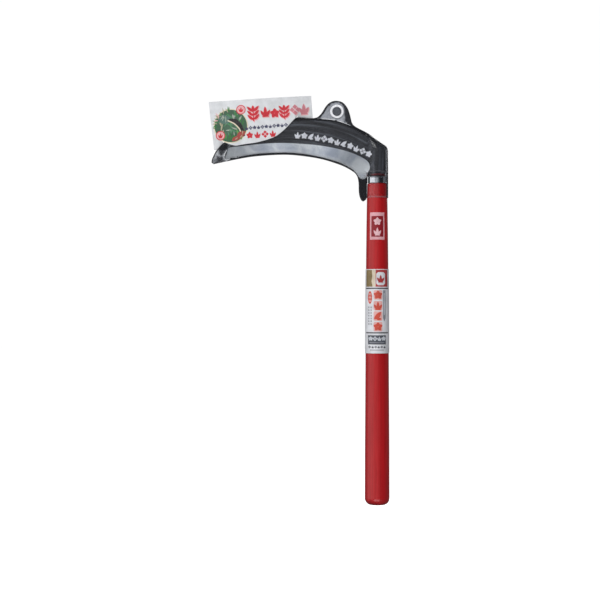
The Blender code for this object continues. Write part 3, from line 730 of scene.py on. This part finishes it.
def cover_painted_sheen(rim):
    """How much painted sheen the film has at plan points: the tab, the tip, a painted highlight
    streak and the sleeve's foot.
    """
    tip_x, tip_z = -189.0, 324.0
    streak_x, streak_low, streak_high = -37.5, 372.0, 388.0

    def painted_sheen(plan):
        x, z = plan.T
        # Painted sheen: whitish glare on the tab, at the tip, in a streak and along the sleeve's
        # foot and right side.
        tab = soft_step(z - height_at(rim, x), 0.0, 2.0) * (x > TAB_LEFT - 1) * (x < TAB_RIGHT + 1)
        tip = np.exp(-(((x - tip_x) / 5.0) ** 2 + ((z - tip_z) / 6.0) ** 2))
        foot = (np.abs(x) < 14.0) * np.maximum((z < 279.0) * 0.7, (x > 12.4) * (z < 306.0) * 0.9)
        streak = np.exp(-((x - streak_x) / 1.2) ** 2) * (z > streak_low) * (z < streak_high)
        return np.clip(0.62 * tab + 0.30 * tip + 0.35 * streak + 0.22 * foot, 0, 1)

    return painted_sheen


def cover_thickness(plan):
    """1 where the film shows its thickness, and 0 along the sleeve's left side."""
    x, z = plan.T
    return 1.0 - (x < -4.0) * (x > -14.5) * (z < 358.0)


def dress_cover(piece, outline, rim, blade, columns):
    """Give the rim of a cover half its painted dark edge, and the flat film off the blade its
    painted shade.
    """
    edge_reach = 0.85
    plan = np.array([v.co for v in piece.data.vertices])[:, [0, 2]] / MM
    gap = distance_to(plan, closed(outline))
    centres = np.array([polygon.center for polygon in piece.data.polygons]) / MM
    x, z = centres[:, 0], centres[:, 2]
    off_blade = ~inside(centres[:, [0, 2]], blade)
    tab = (z > height_at(rim, x) + 0.4) & (x > TAB_LEFT) & (x < TAB_RIGHT)
    sleeve_left = np.where(z > 295.0, columns[3], columns[2])
    sleeve = (x > sleeve_left) & (z < SLEEVE_TOP_Z)
    round_side = (x > 9.0) & (z < 338.0)
    margin = off_blade & ~tab & ~sleeve & ~round_side & (x > TIP_START)
    for polygon, dark, clear in zip(piece.data.polygons, margin, sleeve):
        near = sum(gap[i] for i in polygon.vertices) / len(polygon.vertices)
        if near < edge_reach and not clear:
            polygon.material_index = FILM_EDGE
        elif dark:
            polygon.material_index = FILM_MARGIN


def make_cover():
    right_x = math.sqrt((SLEEVE_INNER + COVER_WALL) ** 2 - SLEEVE_RIM_EDGE**2)
    top = curve_through(COVER_TOP)
    bottom = curve_through(COVER_BOTTOM)
    steps = 28
    columns = [-right_x * math.cos(math.pi * k / steps) for k in range(1, steps + 1)]
    right = [(right_x, 336.0 - 5.0 * k) for k in range(12)]
    foot = [(x, SLEEVE_BOTTOM_Z) for x in reversed(columns)]
    outline = top + right + foot + bottom
    rim = curve_through(POCKET_RIM)
    depth = cover_depths(rim)
    edge = curve_through(CUTTING_EDGE)
    spine = curve_through(SPINE)
    blade = edge + TANG + spine

    def kept(line, clearance):
        p = np.array(line)
        good = inside(p, outline) & (distance_to(p, closed(outline)) > clearance)
        return [tuple(q) for q in p[good]]

    def off_sleeve(points):
        """The points that aren't on the sleeve, where the columns give the mesh its points."""
        low, high = 276.0, 352.0
        return [p for p in points if not (abs(p[0]) < right_x and low < p[1] < high)]

    def left_of(limit, line):
        return [p for p in line if p[0] < limit]

    rim_guide = kept(left_of(right_x - 0.6, rim[1:-1]), 0.9)
    half_guide = kept(left_of(SLEEVE_INNER - 0.6, offset_inwards(rim, 0.5 * POCKET_RAMP)), 0.9)
    wall_guide = kept(left_of(SLEEVE_INNER - 1.0, offset_inwards(rim, POCKET_RAMP)), 0.9)
    spine_guide = kept(left_of(10.0, spine), 0.4)
    guides = [rim_guide, half_guide, wall_guide, spine_guide, kept(edge[6:-6], 0.4)]
    for x in columns[:-1]:
        column = kept([(x, 280.0 + 3.0 * k) for k in range(25)], 0.5)
        near = distance_to(column, rim_guide) if column else []
        guides.append([p for p, gap in zip(column, near) if gap > 1.4])
    guides = [g for g in guides if len(g) > 1]
    fill = off_sleeve(grid_points(outline, 2.4, guides, 1.0))
    fill += off_sleeve(kept(offset_inwards(closed(outline), 1.2), 1.1))
    hole = circle(*STUD, STUD_HOLE_RADIUS, 20)
    attributes = {
        "painted_shade": cover_painted_shade(outline, rim, blade), "painted_sheen": cover_painted_sheen(rim),
        "thick": cover_thickness,
    }
    # The edge film has one strong painted shade for a dark rim, and the margin film a painted shade
    # off the blade.
    materials = [clear_film("cover_film"), clear_film("cover_film_edge_shade", 4.0, 0.85),
                 clear_film("cover_film_margin_shade", 2.2)]
    for name, node, sign in (("cover_shell_front", "cover_front", -1.0),
                             ("cover_shell_back", "cover_back", 1.0)):
        def place(plan, side, sign=sign):
            return np.stack([plan[:, 0], sign * depth(plan, side), plan[:, 1]], 1)

        piece = sheet(
            name, "blade_cover", node, outline, place, materials,
            holes=[hole], guides=guides, fill=fill, sharp=50.0, attributes=attributes,
        )
        dress_cover(piece, outline, rim, blade, columns)
        if sign > 0:
            piece.data.flip_normals()


# ---------------------------------------------------------------- card
CARD_COLOURS = {
    "white": (221, 223, 226), "red": (206, 44, 56), "blue": (58, 62, 92),
    "deep_green": (62, 96, 74), "green": (52, 120, 56), "leaf": (98, 154, 84),
    "teal": (74, 130, 92), "cream": (226, 216, 190), "pink": (232, 176, 180),
    "black": (34, 34, 36), "rose": (204, 128, 138), "sage": (160, 170, 156),
    "earth": (164, 72, 66), "straw": (176, 168, 140), "mist": (84, 116, 106),
}
(_, RED, BLUE, PINE, GREEN, LIME, TEAL, CREAM, PINK, BLACK, ROSE, SAGE, EARTH, STRAW,
 MIST) = range(len(CARD_COLOURS))


def card_stand_off(slit):
    """How far the card stands from its middle plane at plan points: in front above the slit,
    behind below it and beyond its two ends."""
    left_x, right_x = slit[0][0], slit[-1][0]
    neutral, firmness = 270.0, 1.7  # neutral in degrees clockwise from the slit

    def share(along, up):
        clockwise = np.degrees(np.arctan2(-up, along)) % 360.0
        turn = np.where(clockwise <= neutral, 180 * clockwise / neutral,
                        180 + 180 * (clockwise - neutral) / (360 - neutral))
        return np.clip(firmness * np.cos(np.radians(0.5 * turn)), -1, 1)

    def stand_off(plan):
        x, z = plan.T
        up = z - height_at(slit, x)
        near = np.minimum(np.hypot(x - left_x, up), np.hypot(right_x - x, up))
        size = CARD_STAND_OFF * np.sin(0.5 * math.pi * np.clip(near / CARD_BEND_RADIUS, 0, 1))
        blend = soft_step(x, left_x, right_x)
        return size * ((1 - blend) * share(x - left_x, up) + blend * share(right_x - x, up))

    return stand_off


def slit_loop(line):
    """A narrow lens round the slit's line."""
    upper = offset_inwards(line, -SLIT_HALF_WIDTH)[1:-1]
    lower = offset_inwards(line, SLIT_HALF_WIDTH)[1:-1]
    return [line[0]] + lower + [line[-1]] + upper[::-1]


def card_picture(rng):
    """A round picture of a blade in grass, as (outline, colour) areas."""
    cx, cz, radius = -177.4, 363.6, 19.6
    border = 1.2
    shapes = [(circle(cx, cz, radius + border, 48), CREAM), (circle(cx, cz, radius, 48), PINE)]
    for k in range(46):
        a = rng.uniform(0, 2 * math.pi)
        r = radius * math.sqrt(rng.uniform(0, 0.72))
        turn = rng.uniform(0.15, 0.85) * math.pi + (0.5 if a > math.pi else 0.0)
        length = rng.uniform(5.0, 10.0)
        x, z = cx + r * math.cos(a) - 1.0, cz + r * math.sin(a) - 3.0
        if math.hypot(x - cx, z - cz) < radius - 2:
            shapes.append((leaf(x, z, length, rng.uniform(1.2, 2.4), turn, rng.uniform(-0.3, 0.3)),
                           rng.choice([GREEN, LIME, STRAW, TEAL, TEAL, SAGE, PINE])))
    mist = [(-192.6, 372.6), (-187.4, 377.4), (-181.0, 375.8), (-177.0, 371.2), (-180.4, 367.0),
            (-186.8, 366.6), (-191.4, 368.6)]
    shapes.append((curve_through(closed(mist), 3)[:-1], MIST))
    for x, z, size, turn in ((-188.0, 369.4, 7.6, 1.1), (-183.6, 367.6, 8.4, 1.4),
                             (-189.8, 371.4, 6.4, 0.8), (-185.0, 372.6, 5.0, 2.0)):
        shapes.append((leaf(x, z, size, 1.2, turn, 0.25), SAGE))
    for k in range(16):
        a = rng.uniform(0.52, 1.05) * math.pi
        x, z = cx + (radius - 3) * math.cos(a), cz + (radius - 3) * math.sin(a)
        shapes.append((leaf(x, z, rng.uniform(5, 8.5), 1.3, a + rng.uniform(-0.6, 0.6), 0.2),
                       rng.choice([GREEN, LIME, TEAL, PINK, STRAW])))
    back_curve = curve_through([(-178, 372.5), (-170, 371.5), (-163.5, 364), (-160, 352)], 5)
    belly = curve_through([(-162.4, 350.5), (-166.5, 360.5), (-173, 367), (-181, 371)], 5)
    shapes.append((back_curve + belly, BLACK))
    shapes.append((belly + offset_inwards(belly, -1.4)[::-1], CREAM))
    for k in range(12):
        x = -186 + 1.9 * k
        foot = 345.4 + 0.12 * abs(x + 176)
        shapes.append((leaf(x, foot, rng.uniform(6, 11), 1.6, rng.uniform(0.3, 0.7) * math.pi,
                            rng.uniform(-0.25, 0.25)), rng.choice([GREEN, GREEN, LIME, PINE])))
    earth = [(-176.0, 345.2), (-169.6, 346.4), (-162.4, 351.4), (-159.6, 356.6), (-163.4, 357.4),
             (-168.2, 355.8), (-170.2, 351.6), (-174.4, 349.8)]
    shapes.append((curve_through(closed(earth), 3)[:-1], EARTH))
    for x, z, size, turn in ((-166.4, 349.6, 5.0, 0.7), (-163.6, 354.2, 4.2, 1.2),
                             (-172.4, 347.4, 4.4, 0.4)):
        shapes.append((leaf(x, z, size, 1.2, turn, 0.2), STRAW))
    return [([(x + 1.8, z + 0.3) for x, z in shape], index) for shape, index in shapes]


def card_prints():
    """Plain stand-ins for the card's printed matter: a round picture of a blade in grass,
    two badges and three rows of plant ornaments."""
    shapes = card_picture(random.Random(23))
    for x, z in ((-163.4, 383.4), (-188.0, 352.6)):
        shapes.append((circle(x, z, 5.7, 28), RED))
        shapes.append((circle(x, z, 4.7, 28), PINK))
        shapes += sprig(FAN, x, z, 6.2, RED)
    tilt = math.radians(4.5)
    shadow = 0.7
    big = [
        (-148.6, 378.8, 18.8, EAR, RED), (-134.2, 381.0, 12.8, FAN, RED),
        (-122.8, 379.2, 11.6, FLOWER, RED), (-111.4, 380.6, 17.2, EAR, RED),
        (-98.6, 383.6, 11.6, DIAMONDS, ROSE), (-88.0, 384.8, 13.0, FAN, ROSE),
    ]
    for x, z, size, kind, colour in big:
        shapes += sprig(kind, x + shadow, z - shadow, 1.06 * size, PINK, tilt)
        shapes += sprig(kind, x, z, size, colour, tilt)
    for k in range(11):
        kind = (FAN, DIAMONDS, FLOWER)[k % 3]
        shapes += sprig(kind, -156.4 + 4.7 * k, 361.2 + 0.40 * k, 4.5, BLUE, tilt)
    for k, kind in enumerate((FLOWER, FAN, DIAMONDS, FAN)):
        shapes += sprig(kind, -152.8 + 9.2 * k, 352.6 + 0.75 * k, 8.2, RED, tilt)
    return shapes


def make_card():
    line = curve_through(SLIT)
    stand_off = card_stand_off(line)
    outline = []
    for (xa, za), (xb, zb) in zip(CARD_CORNERS, CARD_CORNERS[1:] + CARD_CORNERS[:1]):
        steps = max(2, round(math.hypot(xb - xa, zb - za) / 3.0))
        outline += [(xa + (xb - xa) * k / steps, za + (zb - za) * k / steps) for k in range(steps)]
    hole = slit_loop(line)
    prints = card_prints()
    lines = [closed(hole)] + [closed(shape) for shape, _ in prints]
    fill = grid_points(outline, 2.2, lines, 0.55)

    def place(plan, side):
        y = stand_off(plan) + (CARD_HALF if side else -CARD_HALF)
        return np.stack([plan[:, 0], y, plan[:, 1]], 1)

    materials = [ink("card_" + name, tone(*colour), 0.38 if name == "white" else 0.42)
                 for name, colour in CARD_COLOURS.items()]
    sheet(
        "card_sheet", "card", "header_card", outline, place, materials,
        holes=[hole], fill=fill, prints=prints, sharp=60.0,
    )


# ---------------------------------------------------------------- handle, mark and label
HANDLE_FRONT = 13.9
MARK_RADIUS = 13.0


def handle_radius(z):
    stations = np.array(HANDLE_STATIONS)
    return np.interp(z, stations[:, 0], stations[:, 1])


def wrapped(gap, thickness):
    """A placing on the handle for plan points (arc in degrees, z)."""
    def place(plan, side):
        angle = np.radians(plan[:, 0])
        radius = handle_radius(plan[:, 1]) + gap + (0.0 if side else thickness)
        return np.stack([radius * np.sin(angle), -radius * np.cos(angle), plan[:, 1]], 1)
    return place


def angle_of(x, radius=HANDLE_FRONT):
    """Degrees round the handle of the place that shows x millimetres from its middle."""
    return math.degrees(math.asin(max(-0.999, min(0.999, x / radius))))


def degrees_of(shape, radius=HANDLE_FRONT):
    """A flat plan shape as it lies on the handle, in degrees round it."""
    return [(angle_of(x, radius), z) for x, z in shape]


def flat_box(left, right, low, high, radius=HANDLE_FRONT):
    """A rectangle on the handle given by where its sides show from in front, in millimetres."""
    return degrees_of([(left, low), (right, low), (right, high), (left, high)], radius)


def strip_fill(low_a, high_a, low_z, high_z, step_a, step_z):
    """A grid of points inside a strip of the handle's surface."""
    points = []
    rows = max(1, round((high_z - low_z) / step_z))
    columns = max(1, round((high_a - low_a) / step_a))
    for j in range(1, rows):
        for i in range(1, columns):
            a = low_a + (high_a - low_a) * i / columns
            points.append((a, low_z + (high_z - low_z) * j / rows))
    return points


def ring_outline(low_a, high_a, low_z, high_z, step_a):
    """The strip's outline, with points along its lower and upper sides."""
    columns = round((high_a - low_a) / step_a)
    angles = [low_a + (high_a - low_a) * k / columns for k in range(columns + 1)]
    return [(a, low_z) for a in angles] + [(a, high_z) for a in reversed(angles)]


def make_mark():
    """The framed mark near the handle's top, with a fan of leaves and a flower in it."""
    left, right, low, high = -9.1, 8.2, 227.4, 259.8
    field, plant = 1, 2
    a, b = angle_of(left, MARK_RADIUS), angle_of(right, MARK_RADIUS)
    inner = flat_box(left + 1.5, right - 1.5, low + 3.4, high - 4.2, MARK_RADIUS)
    prints = [(inner, field)]
    for z, kind in ((237.0, FAN), (249.0, FLOWER)):
        for shape, colour in sprig(kind, -0.45, z, 9.6, plant):
            prints.append((degrees_of(shape, MARK_RADIUS), colour))
    prints = [(along_edges(shape, 5.0), index) for shape, index in prints]
    sheet(
        "handle_mark", "sickle", None, ring_outline(a, b, low, high, 4.0),
        wrapped(0.02, 0.06), [ink("mark_frame", tone(226, 168, 176), 0.35),
                              ink("mark_red", tone(140, 26, 38), 0.35, tone(150, 60, 66)),
                              ink("mark_leaf", tone(228, 184, 190), 0.35)],
        fill=strip_fill(a, b, low, high, 4.0, 3.0), prints=prints, sharp=60.0,
    )


LABEL_COLOURS = {
    "white": (222, 223, 228), "cream": (214, 200, 178), "olive": (112, 90, 52),
    "gold": (150, 132, 92), "red": (172, 62, 64), "orange": (206, 82, 66),
    "black": (52, 50, 56), "grey": (140, 142, 150), "coal": (78, 81, 90),
    "pale": (196, 200, 208), "blush": (226, 172, 168),
}


def label_prints():
    """The wrap label's bands and blocks, with plant ornaments for its printed matter."""
    white, cream, olive, gold, red, orange, black, grey, coal, pale, blush = range(11)
    low, high = 171.2, 191.4
    shapes = []

    def add(shape, colour):
        shapes.append((degrees_of(shape), colour))

    def add_sprig(*wanted):
        for shape, colour in sprig(*wanted):
            add(shape, colour)

    def band(left, right, bottom, top, colour):
        shapes.append((flat_box(left, right, bottom, top), colour))

    band(-13.0, -6.2, low, high, olive)
    for k in range(6):
        x = -12.2 + 1.15 * k
        band(x, x + 0.5, low, high, gold)
    add([(-6.2, low), (-2.6, low), (-3.4, 178.0), (-2.2, 184.0), (-3.0, high), (-7.0, high),
         (-6.4, 184.0), (-7.2, 178.0)], cream)
    band(-2.6, 11.6, low, high, red)
    add(box(3.4, 180.8, 10.4, 15.6, 0.0, 2.0), white)
    add_sprig(FAN, 3.4, 180.8, 9.6, red)
    band(-13.4, 12.6, 168.6, 170.0, black)
    add(circle(-8.9, 158.4, 2.3, 22, 3.3), orange)
    for z in (154.4, 158.4, 162.4):
        add_sprig(DIAMONDS, -8.9, z, 2.8, blush)
    for x in (-10.4, -8.8, -7.2):
        for k in range(7):
            add(box(x, 146.6 - 3.3 * k, 0.8, 2.1), grey)
    for kind, z in ((FLOWER, 161.4), (FAN, 148.6), (SLANTING_LEAF, 136.2), (FLOWER, 123.6)):
        add(box(0.2, z, 10.0, 11.2, 0.0, 1.0), blush)
        add_sprig(kind, 0.2, z, 10.6, orange)
    add([(6.0, 134.0), (7.6, 129.8), (9.2, 134.0), (9.2, 167.0), (6.0, 167.0)], grey)
    add(box(7.6, 150.5, 1.2, 26.0), pale)
    band(-12.8, 12.0, 115.6, 117.0, black)
    band(-11.0, 9.4, 102.4, 113.4, coal)
    for x, kind in ((-8.2, FLOWER), (-3.2, DIAMONDS), (1.8, FAN), (6.8, FLOWER)):
        add_sprig(kind, x, 109.4, 5.4, pale)
    add(box(-0.8, 104.6, 17.0, 0.9), grey)
    for k in range(6):
        add_sprig((DIAMONDS, FAN)[k % 2], -9.2 + 3.4 * k, 99.4, 3.0, coal)
    add(box(-0.8, 95.8, 16.0, 0.9), grey)
    for k in range(10):
        a, z = 132.0 + 20.0 * (k % 2), 180.0 - 19.0 * (k // 2)
        for shape, colour in sprig((FAN, FLOWER, DIAMONDS)[k % 3], 0.0, 0.0, 3.4, orange):
            shapes.append(([(a + 4.2 * u, z + v * 3.0) for u, v in shape], colour))
    return shapes


def make_label():
    reach = 179.4
    low, high = LABEL_BOTTOM_Z, LABEL_TOP_Z
    materials = [ink("label_" + name, tone(*colour), 0.30)
                 for name, colour in LABEL_COLOURS.items()]
    sheet(
        "label_wrap", "sickle", "wrap_label",
        ring_outline(-reach, reach, low, high, 6.0), wrapped(LABEL_GAP, LABEL_THICKNESS),
        materials, fill=strip_fill(-reach, reach, low, high, 6.0, 4.0), sharp=60.0,
        prints=[(along_edges(shape, 5.0), index) for shape, index in label_prints()],
    )


def paint_nodes():
    """Better materials for the CAD nodes that stay as they are."""
    chrome = plated("chrome_plate", tone(214, 218, 226), tone(236, 238, 242), 0.10)
    nail = plated("nail_metal", tone(150, 150, 152), tone(190, 190, 192), 0.30)
    dark = moulded("stud_dark_plastic", tone(66, 69, 76), tone(88, 91, 98), 0.34)
    white = moulded("stud_white_plastic", tone(232, 233, 238), tone(246, 246, 250), 0.28)
    chosen = {
        "handle": lacquer(), "ferrule": chrome, "ferrule_nail": nail, "tang_pin": nail,
        "stud_cap": dark, "stud_socket": dark,
        "stud_washer_front": white, "stud_washer_back": white,
    }
    for name, made in chosen.items():
        node = nodes[name]
        if not node.material_slots:
            node.data.materials.append(made)
        for holder in node.material_slots:
            holder.material = made


# ---------------------------------------------------------------- studio
CAMERA_TARGET = (-0.0926, 0.0, 0.1554)
FRAME_WIDTH = 0.72
LENS = 85.0
SENSOR = 36.0
FLOOR_Z = -0.32


def aim(item, target):
    item.rotation_mode = "QUATERNION"
    away = Vector(target) - item.location
    item.rotation_quaternion = away.to_track_quat("-Z", "Y")


def area_light(name, where, width, height, power, colour=(1.0, 1.0, 1.0), target=CAMERA_TARGET):
    data = bpy.data.lights.new(name, "AREA")
    data.shape = "RECTANGLE"
    data.size, data.size_y = width, height
    data.energy = power
    data.color = colour
    light = bpy.data.objects.new(name, data)
    light.location = where
    bpy.context.scene.collection.objects.link(light)
    aim(light, target)
    light.visible_camera = False
    return light


def plane(name, corners, material):
    """A flat part of the studio, which is no part of the object."""
    mesh = bpy.data.meshes.new(name)
    mesh.from_pydata(corners, [], [(0, 1, 2, 3)])
    mesh.materials.append(material)
    made = bpy.data.objects.new(name, mesh)
    bpy.context.scene.collection.objects.link(made)
    return made


def make_camera(scene):
    """A camera straight in front, far enough away to show the frame's width."""
    data = bpy.data.cameras.new("camera")
    data.lens = LENS
    data.sensor_width = SENSOR
    data.clip_start, data.clip_end = 0.05, 50.0
    camera = bpy.data.objects.new("camera", data)
    distance = FRAME_WIDTH * LENS / SENSOR
    camera.location = (CAMERA_TARGET[0], -distance, CAMERA_TARGET[2])
    camera.rotation_euler = (math.radians(90.0), 0.0, 0.0)
    scene.collection.objects.link(camera)
    scene.camera = camera


def make_world(scene):
    """A white backdrop for the camera, and a dim, cool one for the object."""
    world = bpy.data.worlds.new("studio")
    scene.world = world
    world.use_nodes = True
    tree = world.node_tree
    tree.nodes.clear()
    out = tree.nodes.new("ShaderNodeOutputWorld")
    rays = tree.nodes.new("ShaderNodeLightPath")
    mix = tree.nodes.new("ShaderNodeMixShader")
    lighting, seen = ((0.93, 0.96, 1.0, 1.0), 0.13), ((1.0, 1.0, 1.0, 1.0), 1.02)
    for place, (colour, strength) in enumerate((lighting, seen), 1):
        shade = tree.nodes.new("ShaderNodeBackground")
        shade.inputs["Color"].default_value = colour
        shade.inputs["Strength"].default_value = strength
        tree.links.new(shade.outputs[0], mix.inputs[place])
    tree.links.new(rays.outputs["Is Camera Ray"], mix.inputs[0])
    tree.links.new(mix.outputs[0], out.inputs["Surface"])


def make_floor():
    """A pale floor that neither lights the object nor shows in it."""
    half = 12.0
    p = Paint("floor_paint", base_color=(0.5, 0.5, 0.5, 1.0), roughness=0.9)
    p.look(emission_color=(1.0, 1.0, 1.0, 1.0), emission_strength=1.05)
    corners = [(-half, -half, FLOOR_Z), (half, -half, FLOOR_Z), (half, half, FLOOR_Z),
               (-half, half, FLOOR_Z)]
    floor = plane("floor", corners, p.material)
    floor.visible_diffuse = False
    floor.visible_glossy = False


def make_flag():
    """A black card to the right, which darkens what the metal and the lacquer mirror there."""
    near_x, near_y, far_x, far_y = 0.31, -0.95, 0.985, -0.17
    low, high = -0.3, 0.75
    black = Paint("flag_black", base_color=(0.012, 0.013, 0.018, 1.0), roughness=0.9)
    corners = [(near_x, near_y, low), (far_x, far_y, low), (far_x, far_y, high),
               (near_x, near_y, high)]
    flag = plane("flag_right", corners, black.material)
    flag.visible_camera = False
    flag.visible_shadow = False


def make_studio():
    scene = bpy.context.scene
    scene.view_settings.view_transform = "Standard"
    make_camera(scene)
    make_world(scene)
    make_floor()
    make_flag()
    area_light("softbox_left", (-1.45, -0.60, 0.25), 2.4, 1.7, 11.5, (1.0, 0.99, 0.98),
               (0.0, 0.0, 0.25))
    area_light("front_card", (-0.35, -1.95, 0.30), 1.2, 1.6, 1.9)
    area_light("top_front", (-0.75, -1.7, 2.0), 2.2, 1.4, 50.0)
    area_light("low_front", (-0.1, -1.3, -0.75), 1.4, 0.5, 6.4, (0.97, 0.98, 1.0),
               (-0.1, 0.0, 0.33))
    fill = area_light("fill_right", (1.1, -1.1, 0.3), 1.0, 1.2, 8.5)
    fill.visible_glossy = False
    area_light("back", (0.5, 1.9, 1.1), 1.6, 1.2, 24.0)


make_blade()
make_cover()
make_card()
make_mark()
make_label()
paint_nodes()
make_studio()
